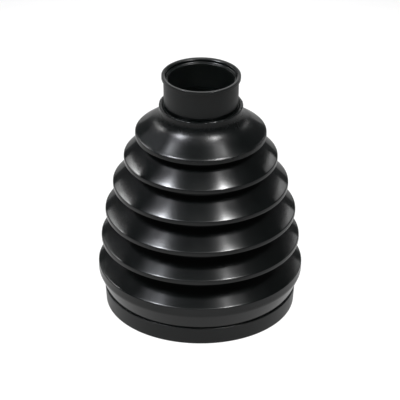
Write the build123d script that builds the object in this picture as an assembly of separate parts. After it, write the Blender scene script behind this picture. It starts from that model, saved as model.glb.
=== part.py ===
"""Rubber bellows boot: one revolved moulding that stands on its large end.

Millimetres, Z up along the axis, origin at the centre of the bottom face.
The section is a list of corners: (distance from the axis, height, rounding radius).
"""

from build123d import *
from itertools import accumulate
from math import acos, ceil, cos, degrees, radians, sin, tan
import os

# Large end: the clamp seat, its bore and the shoulder above it
CUFF_FOOT_RADIUS = 43.2
CUFF_HEIGHT = 8.0
CUFF_TAPER = 4.0  # degrees, wider towards the groove
CUFF_WALL = 2.9  # at the foot
CUFF_BORE_LENGTH = 11.5
FOOT_ROUND = 0.5
GROOVE_WIDTH = 0.7
GROOVE_DEPTH = 0.7  # in from the narrower of its two edges
SHOULDER_HEIGHT = 11.4  # from the groove up to the top of the widest crest
SHOULDER_BAND = 3.7  # height of the upright band round the widest crest
SHOULDER_TAPER = 23.0  # degrees, narrower from that band down to the groove
SHOULDER_ROUND = 0.8
SEAT_CLIMB = 3.7  # inside, height of the slope from the bore out to the shoulder wall

# Folds, listed from the large end up
CREST_OVERHANG = 3.4  # of the widest crest, past the foot
CREST_STEPS = (1.4, 1.9, 3.5, 5.0, 5.2)  # each crest in from the one below it
CREST_PITCHES = (13.7, 13.5, 13.7, 13.1, 12.1)  # crest to crest
CREST_BAND = 2.1  # height of the upright band round the other crests
CREST_ROUND = 1.6
FLANK_ANGLE = 40.0  # degrees below level, from a root out to the crest under it
UNDERSIDE_ANGLE = 22.0  # degrees above level, from a root out to the crest over it
ROOT_BAND = 0.9  # height of the upright band round a root
WALL = 2.0

# Dome, from the top crest in to the neck
DOME_ANGLE = 37.0  # degrees below level
DOME_ROUND = 0.6
DOME_FILLET = 6.3

# Small end: the clamp seat, the lip at its foot, the bead, the mouth and the bore
COLLAR_RADIUS = 16.7
COLLAR_LENGTH = 12.9
COLLAR_DRAFT = 1.0  # degrees, wider towards the bead
COLLAR_WALL = 1.8
MOAT_WIDTH = 1.0  # groove between the lip and the clamp seat
MOAT_DEPTH = 0.8
LIP_OVERHANG = 2.2  # past the foot of the clamp seat
LIP_HEIGHT = 1.6
LIP_ROUND = 0.5
NECK_INSET = 0.3  # of the neck, under the lip
NECK_LAND = 0.2  # plain height of the neck, from the fillet to the lip
BEAD_OVERHANG = 0.85
BEAD_HEIGHT = 1.6
BEAD_ROUND = 0.7
MOUTH_LEDGE = 1.0  # width of the ledge between the mouth and the bore
MOUTH_DEPTH = 1.4
MOUTH_STEP = 0.6  # fall of the ledge towards the bore

FACET_SAG = 0.15  # a rounded corner is cut in facets that stay this close to its arc

CUFF_BORE_RADIUS = CUFF_FOOT_RADIUS - CUFF_WALL
BORE_RADIUS = COLLAR_RADIUS - COLLAR_WALL
MOUTH_RADIUS = BORE_RADIUS + MOUTH_LEDGE
LIP_RADIUS = COLLAR_RADIUS + LIP_OVERHANG
NECK_RADIUS = LIP_RADIUS - NECK_INSET

FLANK = tan(radians(FLANK_ANGLE))
UNDERSIDE = tan(radians(UNDERSIDE_ANGLE))
DOME = tan(radians(DOME_ANGLE))
SHOULDER = 1 / tan(radians(SHOULDER_TAPER))
FLANK_WALL = WALL / cos(radians(FLANK_ANGLE))  # wall measured straight up
UNDERSIDE_WALL = WALL / cos(radians(UNDERSIDE_ANGLE))
DOME_WALL = WALL / cos(radians(DOME_ANGLE))

WIDEST_CREST = CUFF_FOOT_RADIUS + CREST_OVERHANG
CREST_RADII = [WIDEST_CREST - step for step in accumulate((0, *CREST_STEPS))]
LOWEST_TOP = CUFF_HEIGHT + GROOVE_WIDTH + SHOULDER_HEIGHT
TOPS = [LOWEST_TOP + pitch for pitch in accumulate((0, *CREST_PITCHES))]  # the crests' upper edges
LOWS = [top - CREST_BAND for top in TOPS]
SHOULDER_TOP = (WIDEST_CREST, LOWEST_TOP - SHOULDER_BAND)
FOLDS = range(len(CREST_PITCHES))


def meet(first, first_rise, second, second_rise):
    """Where two lines of the section cross; a rise is the climb per millimetre away from the axis."""
    offset = second[1] - first[1] + first_rise * first[0] - second_rise * second[0]
    radius = offset / (first_rise - second_rise)
    return radius, first[1] + first_rise * (radius - first[0])


def cuff_outside():
    """Foot, tapered clamp seat, groove and shoulder, going up to the widest crest."""
    seat_top = CUFF_FOOT_RADIUS + CUFF_HEIGHT * tan(radians(CUFF_TAPER))
    groove_top = CUFF_HEIGHT + GROOVE_WIDTH
    shoulder_foot = WIDEST_CREST - (SHOULDER_TOP[1] - groove_top) / SHOULDER
    return [
        (CUFF_FOOT_RADIUS, 0, FOOT_ROUND),
        (seat_top, CUFF_HEIGHT, 0),
        (min(seat_top, shoulder_foot) - GROOVE_DEPTH, CUFF_HEIGHT + GROOVE_WIDTH / 2, 0),
        (shoulder_foot, groove_top, 0),
        (*SHOULDER_TOP, 0),
    ]


def root_radius(i):
    """Distance from the axis of the root above crest i."""
    sharp = meet((CREST_RADII[i], TOPS[i]), -FLANK, (CREST_RADII[i + 1], LOWS[i + 1]), UNDERSIDE)
    return sharp[0] + ROOT_BAND / (FLANK + UNDERSIDE)


def folds_outside():
    """Crests and the roots between them, going up from the top of the shoulder to the dome."""
    roundings = (SHOULDER_ROUND, *[CREST_ROUND] * (len(FOLDS) - 1))
    corners = []
    for i in FOLDS:
        root = root_radius(i)
        corners.append((CREST_RADII[i], TOPS[i], roundings[i]))
        corners.append((root, TOPS[i] + (CREST_RADII[i] - root) * FLANK, 0))
        corners.append((root, LOWS[i + 1] - (CREST_RADII[i + 1] - root) * UNDERSIDE, 0))
        corners.append((CREST_RADII[i + 1], LOWS[i + 1], 0))
    corners.append((CREST_RADII[-1], TOPS[-1], DOME_ROUND))
    return corners


def folds_inside():
    """The same folds one wall further in, going down from under the dome to above the shoulder."""
    corners = []
    for i in reversed(FOLDS):
        over = (CREST_RADII[i + 1], TOPS[i + 1] - FLANK_WALL)
        over_rise = -FLANK
        if i == FOLDS[-1]:
            over = (CREST_RADII[-1], TOPS[-1] - DOME_WALL)
            over_rise = -DOME
        under = (CREST_RADII[i + 1], LOWS[i + 1] + UNDERSIDE_WALL)
        root = root_radius(i) - WALL
        below = TOPS[i] - FLANK_WALL
        corners.append((*meet(over, over_rise, under, UNDERSIDE), 0))
        corners.append((root, under[1] - (under[0] - root) * UNDERSIDE, 0))
        corners.append((root, below + (CREST_RADII[i] - root) * FLANK, 0))
    return corners


def cuff_inside():
    """Shoulder wall, sloped seat and bore of the large end, going down."""
    inset = WIDEST_CREST - WALL
    shoulder = (WIDEST_CREST - WALL / cos(radians(SHOULDER_TAPER)), SHOULDER_TOP[1])
    seat_top = CUFF_BORE_LENGTH + SEAT_CLIMB
    return [
        (inset, TOPS[0] - FLANK_WALL + (WIDEST_CREST - inset) * FLANK, 0),
        (inset, shoulder[1] + (inset - shoulder[0]) * SHOULDER, 0),
        (shoulder[0] + (seat_top - shoulder[1]) / SHOULDER, seat_top, 0),
        (CUFF_BORE_RADIUS, CUFF_BORE_LENGTH, 0),
        (CUFF_BORE_RADIUS, 0, 0),
    ]


def small_end():
    """Neck, lip, clamp seat, bead, mouth and bore of the small end, up the outside and down the inside."""
    neck_foot = TOPS[-1] + (CREST_RADII[-1] - NECK_RADIUS) * DOME
    lip_low = neck_foot + DOME_FILLET * tan(radians(90 - DOME_ANGLE) / 2) + NECK_LAND
    lip_top = lip_low + LIP_HEIGHT
    collar_top = COLLAR_RADIUS + COLLAR_LENGTH * tan(radians(COLLAR_DRAFT))
    bead_low = lip_top + COLLAR_LENGTH
    bead_radius = collar_top + BEAD_OVERHANG
    top = bead_low + BEAD_HEIGHT
    ledge = top - MOUTH_DEPTH
    throat = TOPS[-1] - DOME_WALL + (CREST_RADII[-1] - BORE_RADIUS) * DOME
    return [
        (NECK_RADIUS, neck_foot, DOME_FILLET),
        (NECK_RADIUS, lip_low, 0),
        (LIP_RADIUS, lip_low, 0),
        (LIP_RADIUS, lip_top, LIP_ROUND),
        (COLLAR_RADIUS + MOAT_WIDTH, lip_top, 0),
        (COLLAR_RADIUS, lip_top - MOAT_DEPTH, 0),
        (collar_top, bead_low, 0),
        (bead_radius, bead_low, 0),
        (bead_radius, top, BEAD_ROUND),
        (MOUTH_RADIUS, top, 0),
        (MOUTH_RADIUS, ledge, 0),
        (BORE_RADIUS, ledge - MOUTH_STEP, 0),
        (BORE_RADIUS, throat, 0),
    ]


def rounded(before, corner, after, radius):
    """Points along the arc that rounds a corner, near enough for facets within FACET_SAG."""
    to_before = (before - corner).normalized()
    to_after = (after - corner).normalized()
    half = acos(to_before.dot(to_after)) / 2
    centre = corner + (to_before + to_after).normalized() * (radius / sin(half))
    start = corner + to_before * (radius / tan(half)) - centre
    turn = 180 - degrees(2 * half)
    facets = ceil(turn / degrees(2 * acos(1 - FACET_SAG / radius)))
    if to_before.cross(to_after).Z > 0:
        turn = -turn
    return [centre + start.rotate(Axis.Z, turn * i / facets) for i in range(facets + 1)]


def section(corners):
    """Outline through the corners, with the rounded ones cut in facets."""
    points = [Vector(radius, height) for radius, height, _ in corners]
    outline = []
    for i, (_, _, rounding) in enumerate(corners):
        if rounding:
            after = points[(i + 1) % len(points)]
            outline += rounded(points[i - 1], points[i], after, rounding)
        else:
            outline.append(points[i])
    return outline


corners = cuff_outside() + folds_outside() + small_end() + folds_inside() + cuff_inside()

with BuildPart() as boot:
    with BuildSketch(Plane.XZ):
        with BuildLine():
            Polyline(*section(corners), close=True)
        make_face()
    revolve(axis=Axis.Z)

os.makedirs("parts", exist_ok=True)
export_step(boot.part, "parts/bellows_boot.step")
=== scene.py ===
"""Looks for the rubber bellows boot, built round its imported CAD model. Metres, Z up."""

import math

import bpy
import numpy as np
from mathutils import Matrix, Vector


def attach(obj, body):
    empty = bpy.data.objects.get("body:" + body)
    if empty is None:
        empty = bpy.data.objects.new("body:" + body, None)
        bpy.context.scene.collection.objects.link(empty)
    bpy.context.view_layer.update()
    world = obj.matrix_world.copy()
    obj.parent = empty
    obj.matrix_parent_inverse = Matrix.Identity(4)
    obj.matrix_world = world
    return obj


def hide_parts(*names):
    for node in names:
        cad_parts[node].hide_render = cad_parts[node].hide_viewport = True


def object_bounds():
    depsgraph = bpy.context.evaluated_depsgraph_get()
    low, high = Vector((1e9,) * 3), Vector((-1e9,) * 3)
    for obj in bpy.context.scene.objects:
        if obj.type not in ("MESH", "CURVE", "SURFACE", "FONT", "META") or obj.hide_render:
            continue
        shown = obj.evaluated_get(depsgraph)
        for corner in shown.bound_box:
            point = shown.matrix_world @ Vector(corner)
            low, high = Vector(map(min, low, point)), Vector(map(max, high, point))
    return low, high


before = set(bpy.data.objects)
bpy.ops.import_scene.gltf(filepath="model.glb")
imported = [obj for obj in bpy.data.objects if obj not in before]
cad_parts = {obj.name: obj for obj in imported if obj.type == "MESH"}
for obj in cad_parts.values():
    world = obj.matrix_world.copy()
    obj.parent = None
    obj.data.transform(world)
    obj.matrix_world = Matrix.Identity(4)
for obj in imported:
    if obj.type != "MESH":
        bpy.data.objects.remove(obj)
cad_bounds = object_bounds()

MM = 0.001

# ---------------------------------------------------------------- section read from the frame

SEAM = 1e-6  # how near the seam plane (y = 0, x > 0) a vertex counts as on it
PLACES = 7  # decimals kept of a corner's radius and height
STRAIGHT = 1e-3  # sine of the bend under which a corner counts as part of a straight line
FACET_LENGTH = 2.7 * MM  # a longer edge is never a facet of a round
FACET_TURN = math.radians(48)  # nor is one between sharper corners
FACET_RATIOS = (0.5, 1, 2)  # the outer corners of a faceted round turn half as much as those inside it
RATIO_MARGIN = 0.05


def seam_outline(node):
    """Corners of the section at the CAD mesh's seam as (radius, height), up the outside first."""
    verts = node.data.vertices
    at_seam = [v for v in verts if abs(v.co.y) < SEAM and v.co.x > 0]
    place = {v.index: (round(v.co.x, PLACES), round(v.co.z, PLACES)) for v in at_seam}
    near = {}
    for edge in node.data.edges:
        a, b = (place.get(i) for i in edge.vertices)
        if a and b and a != b:
            near.setdefault(a, set()).add(b)
            near.setdefault(b, set()).add(a)
    start = max((p for p in near if p[1] < SEAM), key=lambda p: p[0])
    path = [start, max(near[start], key=lambda p: p[1])]
    while path[-1] != start:
        path.append(next(p for p in near[path[-1]] if p != path[-2]))
    points = np.array(path[:-1])
    return points[[not in_line(points, i) for i in range(len(points))]]


def in_line(points, i):
    """True if corner i lies on the straight line between its neighbours."""
    a, b, c = points[i - 1], points[i], points[(i + 1) % len(points)]
    ab, bc = b - a, c - b
    cross = ab[0] * bc[1] - ab[1] * bc[0]
    return abs(cross) < STRAIGHT * np.linalg.norm(ab) * np.linalg.norm(bc)


def bend(edge_in, edge_out):
    """Angle that the outline turns by from one edge to the next, between -pi and pi."""
    cross = edge_in[0] * edge_out[1] - edge_in[1] * edge_out[0]
    return math.atan2(cross, float(edge_in @ edge_out))


def crossing(a, b, c, d):
    """Where the line through a and b meets the line through c and d."""
    along, other = b - a, d - c
    reach = ((c - a)[0] * other[1] - (c - a)[1] * other[0]) / (along[0] * other[1] - along[1] * other[0])
    return a + reach * along


def sharp_corners(points):
    """The outline with each faceted round put back to the one corner that it was cut from."""
    n = len(points)
    edges = [points[(i + 1) % n] - points[i] for i in range(n)]
    turns = [bend(edges[i - 1], edges[i]) for i in range(n)]
    facet = []
    for i in range(n):
        a, b = turns[i], turns[(i + 1) % n]
        even = a * b > 0 and min(abs(a / b - ratio) for ratio in FACET_RATIOS) < RATIO_MARGIN
        facet.append(even and np.linalg.norm(edges[i]) < FACET_LENGTH and max(abs(a), abs(b)) < FACET_TURN)
    corners = []
    for i in range(n):
        if facet[i] and not facet[i - 1]:
            end = i
            while facet[end % n]:
                end += 1
            corners.append(crossing(points[i - 1], points[i], points[end % n], points[(end + 1) % n]))
        elif not facet[i] and not facet[i - 1]:
            corners.append(points[i])
    return np.array(corners)


# ---------------------------------------------------------------- smooth outline and surface turned from it

EDGE_SHARE = 0.96  # the most of an edge that the roundings at its two ends take
CROWN_STEPS = 4  # pieces that a swelling edge is cut in
FEWEST_STEPS = 2  # pieces that the smallest rounding is cut in


def turned(direction, angle):
    """The direction turned anticlockwise by an angle."""
    c, s = math.cos(angle), math.sin(angle)
    return np.array([c * direction[0] - s * direction[1], s * direction[0] + c * direction[1]])


def curve_between(start, end, count):
    """Points and tangents inside the Hermite curve from one (point, tangent) pair to the next."""
    (a, ta), (b, tb) = start, end
    span = float(np.linalg.norm(b - a))
    base = np.array([a, ta * span, b, tb * span])
    inside = []
    for k in range(1, count):
        t = k / count
        weights = np.array([2 * t**3 - 3 * t**2 + 1, t**3 - 2 * t**2 + t, 3 * t**2 - 2 * t**3, t**3 - t**2])
        rates = np.array([6 * t**2 - 6 * t, 3 * t**2 - 4 * t + 1, 6 * t - 6 * t**2, 3 * t**2 - 2 * t])
        tangent = rates @ base
        inside.append((weights @ base, tangent / np.linalg.norm(tangent)))
    return inside


def smooth_outline(points, ease, turn_step, crowns):
    """Points and tangents along the outline with its corners rounded.

    ease(i) gives how far before and after corner i its rounding reaches, turn_step(i) the turn between
    samples, and crowns {i: height} how far the edge that leaves corner i swells out at its middle.
    """
    n = len(points)
    edges = [points[(i + 1) % n] - points[i] for i in range(n)]
    lengths = [float(np.linalg.norm(e)) for e in edges]
    units = [e / length for e, length in zip(edges, lengths)]
    tilts = [4 * crowns.get(i, 0) / lengths[i] for i in range(n)]  # of an arc's ends, by its swell
    leaving = [turned(unit, -angle) for unit, angle in zip(units, tilts)]
    reaching = [turned(unit, angle) for unit, angle in zip(units, tilts)]
    sizes = [list(ease(i)) for i in range(n)]
    for i in range(n):
        taken = (sizes[i][1] + sizes[(i + 1) % n][0]) / (EDGE_SHARE * lengths[i])
        if taken > 1:
            sizes[i][1] /= taken
            sizes[(i + 1) % n][0] /= taken
    arcs = []
    for i in range(n):
        start = points[i] - reaching[i - 1] * sizes[i][0]
        end = points[i] + leaving[i] * sizes[i][1]
        count = max(FEWEST_STEPS, math.ceil(abs(bend(units[i - 1], units[i])) / turn_step(i)))
        arc = []
        for k in range(count + 1):
            t = k / count
            point = (1 - t) ** 2 * start + 2 * t * (1 - t) * points[i] + t * t * end
            tangent = (1 - t) * (points[i] - start) + t * (end - points[i])
            arc.append((point, tangent / np.linalg.norm(tangent)))
        arcs.append(arc)
    path = []
    for i in range(n):
        path += arcs[i]
        if i in crowns:
            path += curve_between(arcs[i][-1], arcs[(i + 1) % n][0], CROWN_STEPS)
    return path


def lathe(name, path, segments, relief):
    """Closed surface of revolution round Z, with the path's own normals, kept inside the CAD's box.

    relief(point, angle) gives how far a vertex is lifted and how steeply that lift grows along the turn.
    """
    verts, normals = [], []
    for point, tangent in path:
        for s in range(segments):
            angle = 2 * math.pi * s / segments
            x, y = math.cos(angle), math.sin(angle)
            lift, slope = relief(point, angle)
            out, aside = tangent[1], slope * tangent[0]
            verts.append((point[0] * x, point[0] * y, point[1] + lift))
            normals.append((out * x - aside * y, out * y + aside * x, -tangent[0]))
    faces = []
    for i in range(len(path)):
        j = (i + 1) % len(path)
        for s in range(segments):
            t = (s + 1) % segments
            faces.append((i * segments + s, i * segments + t, j * segments + t, j * segments + s))
    mesh = bpy.data.meshes.new(name)
    mesh.from_pydata(np.clip(verts, *cad_bounds).tolist(), [], faces)
    mesh.polygons.foreach_set("use_smooth", [True] * len(faces))
    unit = np.array(normals)
    unit /= np.linalg.norm(unit, axis=1, keepdims=True)
    mesh.normals_split_custom_set_from_vertices(unit.tolist())
    mesh.update()
    obj = bpy.data.objects.new(name, mesh)
    bpy.context.scene.collection.objects.link(obj)
    return obj


# ---------------------------------------------------------------- shader nodes


class Graph:
    """A node tree, with short ways to add nodes and to join them."""

    def __init__(self, tree):
        self.nodes, self.links = tree.nodes, tree.links

    def add(self, kind, source=None, socket=0, **values):
        """New node, with an input joined if a source is given.

        A value sets the property that it names, or an input where it is called in_NAME or in_NUMBER.
        """
        made = self.nodes.new("ShaderNode" + kind)
        for key, value in values.items():
            if key.startswith("in_"):
                name = key[3:].replace("_", " ")
                made.inputs[int(name) if name.isdigit() else name].default_value = value
            else:
                setattr(made, key, value)
        if source:
            self.join(source, made, socket)
        return made

    def join(self, source, target, socket=0):
        """Joins a node's first output, or another given as (node, output), to an input of the target."""
        made, output = source if isinstance(source, tuple) else (source, 0)
        self.links.new(made.outputs[output], target.inputs[socket])

    def length(self, vector):
        """Output with the vector's length."""
        return self.add("VectorMath", vector, operation="LENGTH"), "Value"

    def product(self, first, second):
        """Node that multiplies two numbers."""
        made = self.add("Math", first, operation="MULTIPLY")
        self.join(second, made, 1)
        return made

    def noise(self, vector, scale, detail, roughness=0.5):
        """Noise texture node."""
        values = {"in_Scale": scale, "in_Detail": detail, "in_Roughness": roughness}
        return self.add("TexNoise", vector, "Vector", **values)

    def mapped(self, source, before, after, interpolation="LINEAR"):
        """Node that carries numbers from one (low, high) range over to another."""
        made = self.add("MapRange", source, "Value", interpolation_type=interpolation)
        for socket, value in zip(("From Min", "From Max", "To Min", "To Max"), (*before, *after)):
            made.inputs[socket].default_value = value
        return made


def principled(name):
    """New material with its graph and its shader node."""
    material = bpy.data.materials.new(name)
    material.use_nodes = True
    graph = Graph(material.node_tree)
    return material, graph, graph.nodes["Principled BSDF"]


# ---------------------------------------------------------------- rubber

RUBBER_IOR = 1.40
GLOSSY = 0.12  # roughness where the matt ramp is 0
MATT = 0.38  # and where it is 1
HEIGHT_SPAN = 120.0  # millimetres of height that the ramp covers
MATT_STOPS = [  # height in millimetres, and how matt the rubber is there
    (0.0, 0.9),  # large end's clamp seat
    (8.3, 0.9),
    (9.0, 0.15),  # shoulder
    (16.2, 0.15),
    (16.6, 0.6),  # band round the widest crest
    (19.0, 0.1),
    (20.0, 0.0),  # folds
    (83.4, 0.0),
    (84.2, 0.7),  # crest under the dome
    (86.2, 0.6),
    (87.4, 0.12),  # dome
    (90.0, 0.12),
    (91.5, 0.5),  # fillet and neck
    (97.0, 0.6),
    (98.0, 0.2),  # lip
    (100.0, 0.2),
    (101.0, 1.0),  # small end's clamp seat
    (111.2, 1.0),
    (112.4, 0.3),  # bead
    (113.6, 0.1),
]
BLACK = (0.0024, 0.0032, 0.0031, 1)
# painted light: the bore's rubber is painted lighter, standing in for light that reaches into it
PAINTED_BORE_LIGHT = (0.0042, 0.0054, 0.0050, 1)
BORE_LIGHT_RADII = (0.0156, 0.0151)  # from black outside the first to the painted light inside the second
CLOUDS = (150.0, 3.0, 0.55)  # scale, detail and roughness of the noise
CLOUD_RANGE = (0.3, 0.7)  # of the noise, carried over to the two ranges below
CLOUD_ROUGHNESS = (0.91, 1.1)
CLOUD_SHADE = (0.8, 1.25)
WAVES = (110.0, 1.0)  # here and below, in the same order
WAVE_HEIGHT = 20e-6
MARKS = (1.0, 2.0, 0.6)
MARKS_PER_METRE = 900.0  # how finely they follow one another over radius and height
MARK_DRIFT = 1.2  # how far the marks change over a turn
MARK_HEIGHT = 4e-6
GRAIN = (1800.0, 2.0)
GRAIN_HEIGHT = 3e-6
COLOUR_A, COLOUR_B, COLOUR_OUT = 6, 7, 2  # the Mix node's colour sockets


def fill_ramp(ramp, stops, span):
    """Puts grey stops, given as (place, value), on a colour ramp that covers a span."""
    for element, (place, value) in zip(ramp.elements, (stops[0], stops[-1])):
        element.position = place / span
        element.color = (value,) * 3 + (1,)
    for place, value in stops[1:-1]:
        ramp.elements.new(place / span).color = (value,) * 3 + (1,)


def rubber_roughness(graph, height, clouds):
    """Roughness that follows the matt ramp up the boot, made a little uneven by the clouds."""
    climb = graph.add("Math", height, operation="MULTIPLY", in_1=1 / (HEIGHT_SPAN * MM))
    ramp = graph.add("ValToRGB", climb, "Fac")
    fill_ramp(ramp.color_ramp, MATT_STOPS, HEIGHT_SPAN)
    plain = graph.mapped(ramp, (0, 1), (GLOSSY, MATT))
    return graph.product(plain, graph.mapped(clouds, CLOUD_RANGE, CLOUD_ROUGHNESS))


def rubber_colour(graph, radius, clouds):
    """Black, painted a little lighter in the bore as painted light that stands in for light reaching in
    there, and uneven all over.
    """
    # painted light: mask of the bore, where the black is painted lighter
    bore_light = graph.mapped(radius, BORE_LIGHT_RADII, (0, 1))
    shade = graph.add("Mix", bore_light, "Factor", data_type="RGBA")
    shade.inputs[COLOUR_A].default_value = BLACK
    shade.inputs[COLOUR_B].default_value = PAINTED_BORE_LIGHT
    tone = graph.add("Mix", data_type="RGBA", blend_type="MULTIPLY", in_Factor=1)
    graph.join((shade, COLOUR_OUT), tone, COLOUR_A)
    graph.join(graph.mapped(clouds, CLOUD_RANGE, CLOUD_SHADE), tone, COLOUR_B)
    return tone, COLOUR_OUT


def turning_marks(graph, flat, radius, height):
    """Noise over radius and height that hardly changes along the turn, like marks that run round the axis."""
    levels = graph.add("CombineXYZ", radius, "X")
    graph.join(height, levels, "Z")
    fine = graph.add("VectorMath", levels, operation="SCALE", in_Scale=MARKS_PER_METRE)
    around = graph.add("VectorMath", flat, operation="NORMALIZE")
    slow = graph.add("VectorMath", around, operation="SCALE", in_Scale=MARK_DRIFT)
    both = graph.add("VectorMath", fine, operation="ADD")
    graph.join(slow, both, 1)
    return graph.noise(both, *MARKS)


def rubber():
    """Black moulded rubber: glossy folds with faint clouds and turning marks, matt seats, and a bore painted
    lighter as painted light.
    """
    material, graph, shader = principled("moulded_rubber")
    shader.inputs["IOR"].default_value = RUBBER_IOR
    place = (graph.add("TexCoord"), "Object")
    height = (graph.add("SeparateXYZ", place), "Z")
    flat = graph.add("VectorMath", place, operation="MULTIPLY", in_1=(1, 1, 0))
    radius = graph.length(flat)
    clouds = graph.noise(place, *CLOUDS)
    graph.join(rubber_roughness(graph, height, clouds), shader, "Roughness")
    graph.join(rubber_colour(graph, radius, clouds), shader, "Base Color")
    waves = graph.noise(place, *WAVES)
    marks = turning_marks(graph, flat, radius, height)
    grain = graph.noise(place, *GRAIN)
    normal = None
    for texture, depth in ((waves, WAVE_HEIGHT), (marks, MARK_HEIGHT), (grain, GRAIN_HEIGHT)):
        bump = graph.add("Bump", texture, "Height", in_Strength=1.0, in_Distance=depth)
        if normal:
            graph.join(normal, bump, "Normal")
        normal = bump
    graph.join(normal, shader, "Normal")
    return material


# ---------------------------------------------------------------- the boot

SEGMENTS = 228
OUTSIDE_TURN = math.radians(10)  # most turn between samples of a rounding outside
INSIDE_TURN = math.radians(30)  # and inside

# How far before and after each corner its rounding reaches, in millimetres, going up the outside
CUFF_EASE = [(0.47, 0.47), (0.35, 0.3), (0.35, 0.35), (0.25, 0.3), (0.9, 0.9)]
SHOULDER_EASE = (0.6, 0.12)
ROOT_EASE = (0.9, 0.45)
UNDER_EASE = (0.8, 0.8)
CREST_EASE = (1.4, 0.16)
DOME_UNDER_EASE = (0.15, 0.15)
DOME_EASE = (1.1, 0.14)
FILLET_EASE = (5.3, 3.1)
LIP_EASE = [(0.1, 0.1), (0.35, 0.35), (0.5, 0.6), (0.3, 0.3), (0.45, 0.45)]
NOTCH_EASE = (0.15, 0.15)
BEAD_EASE = [(0.12, 0.12), (0.3, 0.25), (1.3, 1.1)]
MOUTH_EASE = [(0.4, 0.5), (0.2, 0.2), (0.45, 0.5)]
BORE_EASE = (0.4, 0.4)  # every corner further down the inside

FLANK_RUN = 5 * MM  # an outside edge that comes in by more than this is a flank, the dome's being the last
FLANK_CROWNS = (0.05, 0.08, 0.12, 0.14, 0.15)  # swell of each flank in millimetres, lowest first
FLANK_LEANS = (3.0, 2.6, 1.5, 0.7, 0.0)  # degrees that each flank lies flatter than the CAD's
DOME_CROWN = -0.04
LAND = 0.45 * MM  # width of the steeper land along each crest's upper edge, which catches a line of light
DOME_LAND = 0.7 * MM
LAND_SLOPE = math.radians(46)
LAND_EASE = (0.12, 0.12)
BEAD_STEP = 0.5 * MM  # the bead stands out from the clamp seat by more than this
NOTCH_HEIGHT = 0.75 * MM  # the shadow line under the bead
NOTCH_DEPTH = 0.4 * MM
LIP_TOP = 4  # corners from the dome's crest up to the lip's upper outer edge
FLASH_REACH = 0.75 * MM  # how far from that edge the ragged seam fades out
FLASH_WAVES = [  # waves round the lip, height in millimetres, phase
    (9, 0.08, 1.0),
    (23, 0.07, 4.1),
    (38, 0.06, 2.3),
    (53, 0.05, 5.2),
]


def outside_eases():
    """The roundings of the outside corners, in order, before the lands are put in."""
    fold = [ROOT_EASE, ROOT_EASE[::-1], UNDER_EASE, CREST_EASE]
    dome = [*fold[:2], DOME_UNDER_EASE, DOME_EASE, FILLET_EASE]
    folds = fold * (len(FLANK_CROWNS) - 1)
    return [*CUFF_EASE, SHOULDER_EASE, *folds, *dome, *LIP_EASE, NOTCH_EASE, *BEAD_EASE, *MOUTH_EASE]


def with_notch(corners):
    """The section with a shadow line cut in the clamp seat, right under the bead."""
    bead = max(i for i in range(1, len(corners)) if corners[i][0] - corners[i - 1][0] > BEAD_STEP)
    low = corners[bead - 1] - (0, NOTCH_HEIGHT)
    notched = np.insert(corners, bead - 1, low, axis=0)
    notched[bead][0] -= NOTCH_DEPTH
    return notched


def lean_flanks(corners, flanks):
    """Lays each flank but the dome's flatter, by lowering its upper end at the root."""
    for i, lean in zip(flanks, FLANK_LEANS):
        run, rise = corners[i][0] - corners[i + 1][0], corners[i + 1][1] - corners[i][1]
        corners[i + 1][1] = corners[i][1] + run * math.tan(math.atan2(rise, run) - math.radians(lean))


def with_lands(corners, sizes, flanks):
    """The section, its roundings and its flanks with a steeper land put in below each flank."""
    sizes = list(sizes)
    for i in reversed(flanks):
        flank = corners[i + 1] - corners[i]
        width = DOME_LAND if i == flanks[-1] else LAND
        corners = np.insert(corners, i + 1, corners[i] + flank / np.linalg.norm(flank) * width, axis=0)
        corners[i][1] = corners[i + 1][1] - (corners[i][0] - corners[i + 1][0]) * math.tan(LAND_SLOPE)
        sizes.insert(i + 1, LAND_EASE)
    return corners, sizes, [i + k + 1 for k, i in enumerate(flanks)]


def boot_path():
    """The section's smoothed outline, fine outside and coarse inside, and the lip's upper outer edge."""
    corners = with_notch(sharp_corners(seam_outline(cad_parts["bellows_boot"])))
    sizes = outside_eases()
    flanks = [i for i in range(len(sizes)) if corners[i][0] - corners[i + 1][0] > FLANK_RUN]
    lip_edge = corners[flanks[-1] + LIP_TOP]
    lean_flanks(corners, flanks)
    corners, sizes, flanks = with_lands(corners, sizes, flanks)
    crowns = {i: crown * MM for i, crown in zip(flanks, (*FLANK_CROWNS, DOME_CROWN))}

    def ease(i):
        before, after = sizes[i] if i < len(sizes) else BORE_EASE
        return before * MM, after * MM

    def turn_step(i):
        return OUTSIDE_TURN if i < len(sizes) else INSIDE_TURN

    return smooth_outline(corners, ease, turn_step, crowns), lip_edge


def flash(edge):
    """Relief of the ragged seam that the mould left along the lip's upper outer edge."""

    def relief(point, angle):
        reach = max(0.0, 1 - max(abs(edge[0] - point[0]), abs(edge[1] - point[1])) / FLASH_REACH)
        if not reach:
            return 0.0, 0.0
        lift = sum(h * math.sin(n * angle + phase) for n, h, phase in FLASH_WAVES) * MM * reach
        climb = sum(h * n * math.cos(n * angle + phase) for n, h, phase in FLASH_WAVES) * MM * reach
        return lift, climb / point[0]

    return relief


def build_boot():
    path, lip_edge = boot_path()
    boot = lathe("boot_skin", path, SEGMENTS, flash(lip_edge))
    boot.data.materials.append(rubber())
    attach(boot, "root")
    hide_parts("bellows_boot")


# ---------------------------------------------------------------- floor

FLOOR_SIZE = 6
FLOOR_COLOUR = (0.05, 0.05, 0.05, 1)
FLOOR_ROUGHNESS = 0.9
FLOOR_MIDDLE = (0, 0.09, 0)
FLOOR_FADE = ((0.2, 1.0), (0.37, 0.6))  # (distance from the middle, glow) where the fade starts and ends
CARD_HEIGHT = -0.0002
CARD_MIDDLE = (-0.045, -0.02, 0)
CARD_FADE = ((0.06, 0.86), (0.32, 0.38))
CARD_FOOT = 0.78  # share of the glow that is left near the boot's foot
FOOT_RADII = (0.05, 0.08)  # distances from the axis at which that shade is full and gone


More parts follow.
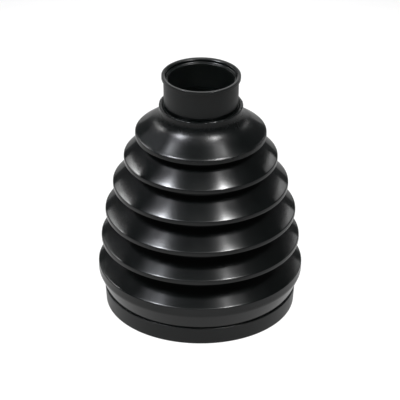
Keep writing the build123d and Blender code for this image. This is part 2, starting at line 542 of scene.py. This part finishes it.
def floor_material(name, middle, fade, foot):
    """Pale floor that glows near its middle, fades outwards and is shaded round the boot's foot."""
    material, graph, shader = principled(name)
    shader.inputs["Base Color"].default_value = FLOOR_COLOUR
    shader.inputs["Roughness"].default_value = FLOOR_ROUGHNESS
    shader.inputs["Specular IOR Level"].default_value = 0.0
    shader.inputs["Emission Color"].default_value = (1, 1, 1, 1)
    place = (graph.add("NewGeometry"), "Position")
    offset = graph.add("VectorMath", place, operation="SUBTRACT", in_1=middle)
    distances, glows = zip(*fade)
    glow = graph.mapped(graph.length(offset), distances, glows, "SMOOTHSTEP")
    shade = graph.mapped(graph.length(place), FOOT_RADII, (foot, 1), "SMOOTHSTEP")
    graph.join(graph.product(glow, shade), shader, "Emission Strength")
    return material


def add_floor(name, height, material, seen):
    """Plane that is there either for the camera or for the boot's reflections."""
    bpy.ops.mesh.primitive_plane_add(size=FLOOR_SIZE, location=(0, 0, height))
    floor = bpy.context.object
    floor.name = name
    floor.data.materials.append(material)
    floor.visible_camera = seen
    floor.visible_glossy = floor.visible_diffuse = not seen


def build_floor():
    """The white floor that the camera sees, and just under it the greyer one that the boot mirrors."""
    pale = floor_material("pale_floor", FLOOR_MIDDLE, FLOOR_FADE, foot=1)
    add_floor("floor", 0, pale, seen=True)
    card = floor_material("floor_card", CARD_MIDDLE, CARD_FADE, foot=CARD_FOOT)
    add_floor("floor_card", CARD_HEIGHT, card, seen=False)


# ---------------------------------------------------------------- light

BOOT_MIDDLE = Vector((0, 0, 0.055))
NEUTRAL = (1, 1, 1)
COOL = (0.92, 0.94, 1.0)
SKY_COLOUR = (0.97, 0.98, 1.0, 1)
SKY_BRIGHTEST = (0, 72)  # azimuth and elevation
SKY_COSINES = (0.6, 1.0)  # of the angle from that direction, where the sky has the two strengths below
SKY_GLOW = (0.09, 0.31)
SOFTBOX_DISTANCE = 1.2
CORE_SIZE = (1.0, 0.8)
STRIP_SIZE = (0.7, 1.0)
DOME_LIGHT_SIZE = (0.7, 0.7)
PANEL_DISTANCE = 3.0
PANEL_DEPTH = 0.5


def direction(azimuth, elevation):
    """Unit vector at an azimuth from the camera's side (-Y), positive to its right, and an elevation."""
    a, e = math.radians(azimuth), math.radians(elevation)
    return Vector((math.sin(a) * math.cos(e), -math.cos(a) * math.cos(e), math.sin(e)))


def fading_light(name, place, across, long_axis, size, radiance, spread, hot, colour):
    """Rectangular light that fades away from its hot spot and that the camera doesn't see.

    across and long_axis are the directions of its u and v and place is from the boot's middle. hot is the hot
    spot's place on it, and spread how far along u and v the light fades to a third, in metres.
    """
    data = bpy.data.lights.new(name, "AREA")
    data.shape = "RECTANGLE"
    data.size, data.size_y = size
    data.color = colour
    data.energy = radiance * math.pi * size[0] * size[1]
    data.use_nodes = True
    graph = Graph(data.node_tree)
    scaled = graph.add("VectorMath", (graph.add("NewGeometry"), "Parametric"), operation="MULTIPLY_ADD")
    scaled.inputs[1].default_value = [size[k] / spread[k] for k in range(2)] + [0]
    scaled.inputs[2].default_value = [-(0.5 * size[k] + hot[k]) / spread[k] for k in range(2)] + [0]
    steps = graph.add("VectorMath", scaled, operation="ABSOLUTE")
    fall = graph.add("VectorMath", steps, operation="DOT_PRODUCT", in_1=(-1, -1, 0))
    strength = graph.add("Math", (fall, "Value"), operation="EXPONENT")
    graph.join(strength, graph.nodes["Emission"], "Strength")
    light = bpy.data.objects.new(name, data)
    facing = Matrix((across, long_axis, across.cross(long_axis))).transposed()
    light.matrix_world = Matrix.Translation(BOOT_MIDDLE + place) @ facing.to_4x4()
    light.visible_camera = False
    bpy.context.scene.collection.objects.link(light)


def softbox(name, middle, towards, size, radiance, spread, distance=SOFTBOX_DISTANCE, colour=NEUTRAL):
    """Light at an (azimuth, elevation) that faces the boot, with its long axis towards another."""
    outward = direction(*middle)
    long_axis = direction(*towards)
    long_axis = (long_axis - outward * long_axis.dot(outward)).normalized()
    across = long_axis.cross(outward)
    fading_light(name, outward * distance, across, long_axis, size, radiance, spread, (0, 0), colour)


def panel_below(name, end_a, end_b, radiance, spread, hot=0.0, colour=NEUTRAL):
    """Light that hangs down from an edge between two (azimuth, elevation) directions and is brightest there.

    hot is where its brightest point lies along that edge, in metres from the middle.
    """
    a, b = direction(*end_a) * PANEL_DISTANCE, direction(*end_b) * PANEL_DISTANCE
    along = (a - b).normalized()
    outward = ((a + b) / 2).normalized()
    up = along.cross(outward)
    if up.z < 0:
        up = -up
    place = (a + b) / 2 - up * PANEL_DEPTH / 2
    size = ((a - b).length, PANEL_DEPTH)
    if along.cross(up).dot(outward) < 0:
        along, hot = -along, -hot
    fading_light(name, place, along, up, size, radiance, spread, (hot, PANEL_DEPTH / 2), colour)


def build_sky():
    world = bpy.data.worlds.new("studio")
    world.use_nodes = True
    graph = Graph(world.node_tree)
    background = graph.nodes["Background"]
    view = (graph.add("TexCoord"), "Generated")
    cosine = graph.add("VectorMath", view, operation="DOT_PRODUCT", in_1=direction(*SKY_BRIGHTEST))
    graph.join(graph.mapped((cosine, "Value"), SKY_COSINES, SKY_GLOW), background, "Strength")
    background.inputs["Color"].default_value = SKY_COLOUR
    bpy.context.scene.world = world


def build_light():
    """Cores and strips for the two streaks, spots for the dome, light from the top and back, side panels."""
    build_sky()
    softbox(
        "core_left", (-63.2, 52.6), (-67.5, 59.0), CORE_SIZE,
        radiance=230.0, spread=(0.095, 0.033), colour=COOL,
    )
    softbox("core_right", (45.5, 57.3), (49.5, 63.9), CORE_SIZE, radiance=225.0, spread=(0.078, 0.034))
    softbox(
        "strip_left", (-66.5, 59.2), (-81, 63), STRIP_SIZE,
        radiance=3.0, spread=(0.095, 0.8), colour=COOL,
    )
    softbox("strip_right", (48.5, 64.5), (62, 70.5), STRIP_SIZE, radiance=3.7, spread=(0.08, 0.8))
    softbox(
        "dome_left", (-95, 60), (-104, 56), DOME_LIGHT_SIZE,
        radiance=17.0, spread=(0.06, 0.07), colour=COOL,
    )
    softbox("dome_right", (81, 67.2), (94, 64), DOME_LIGHT_SIZE, radiance=13.0, spread=(0.055, 0.08))
    softbox("front_top", (0, 57), (0, 80), size=(1.0, 0.5), radiance=1.6, spread=(0.4, 0.11))
    softbox("back_top", (180, 62), (180, 90), size=(1.0, 0.6), radiance=4.5, spread=(0.5, 0.5))
    softbox("back_low", (180, 14), (180, 90), size=(1.6, 1.6), radiance=1.6, spread=(1.6, 0.7), distance=2.0)
    panel_below("halo_left", (-109, 50), (-141, 25), radiance=3.2, spread=(2.0, 0.1), colour=COOL)
    panel_below("side_left", (-109, 33.7), (-143, 9.9), radiance=52.0, spread=(0.6, 0.11), hot=0.9)
    panel_below("side_right", (118, 29), (145, 9), radiance=4.6, spread=(1.5, 0.11))


# ---------------------------------------------------------------- camera

CAMERA_TARGET = Vector((-0.0002, 0, 0.0502))
CAMERA_DISTANCE = 1.2964
CAMERA_ELEVATION = math.radians(29.01)
CAMERA_ROLL = math.radians(0.337)
CAMERA_LENS = 256.1
CAMERA_SENSOR = 36


def build_camera():
    data = bpy.data.cameras.new("camera")
    data.lens = CAMERA_LENS
    data.sensor_width = CAMERA_SENSOR
    camera = bpy.data.objects.new("camera", data)
    back = Vector((0, -math.cos(CAMERA_ELEVATION), math.sin(CAMERA_ELEVATION)))
    camera.location = CAMERA_TARGET + back * CAMERA_DISTANCE
    look = (-back).to_track_quat("-Z", "Y").to_matrix().to_4x4()
    camera.rotation_euler = (look @ Matrix.Rotation(CAMERA_ROLL, 4, "Z")).to_euler()
    bpy.context.scene.collection.objects.link(camera)
    bpy.context.scene.camera = camera


build_boot()
build_floor()
build_light()
build_camera()
bpy.context.scene.view_settings.view_transform = "Standard"
